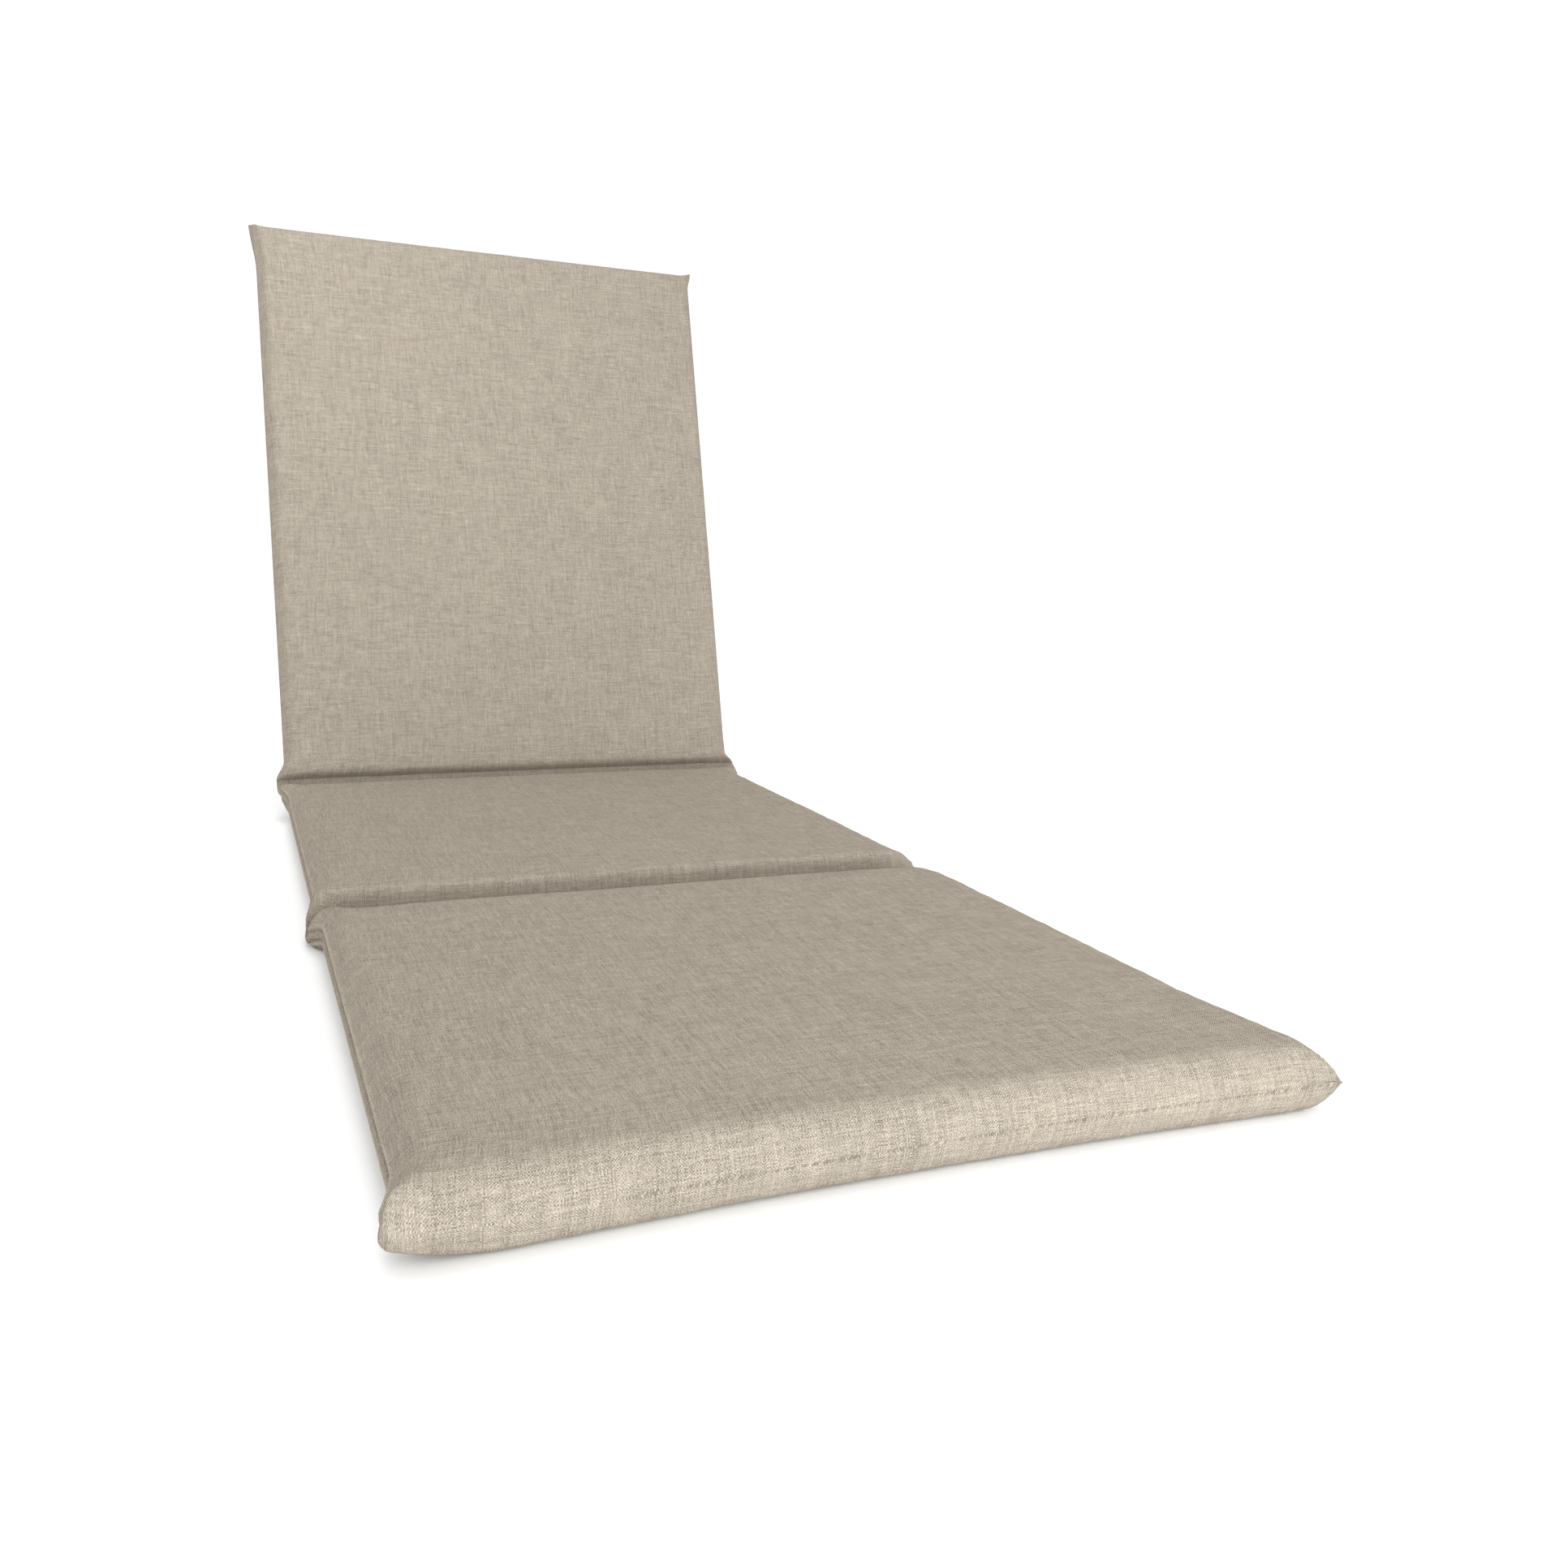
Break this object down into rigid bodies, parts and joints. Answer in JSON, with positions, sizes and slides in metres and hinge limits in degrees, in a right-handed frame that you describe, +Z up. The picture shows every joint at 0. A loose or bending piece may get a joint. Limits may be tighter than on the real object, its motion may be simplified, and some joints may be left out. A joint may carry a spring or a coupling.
{
  "type": "sun lounger cushion",
  "caption": "Long flat lounger cushion in filled sections with sewn fold channels, the foot and seat lying level and the back raised.",
  "frame": {"origin": "on the ground, under the middle of the box that holds the cushion", "axes": "+X across the cushion to the right as seen from its foot end, +Y from the foot end to the raised back, +Z up"},
  "size_m": [0.6, 1.3746, 0.7381],
  "materials": {
    "cover": "woven melange outdoor cloth, matt"
  },
  "bodies": {
    "root": {"cushion": "cover"}
  },
  "joints": []
}
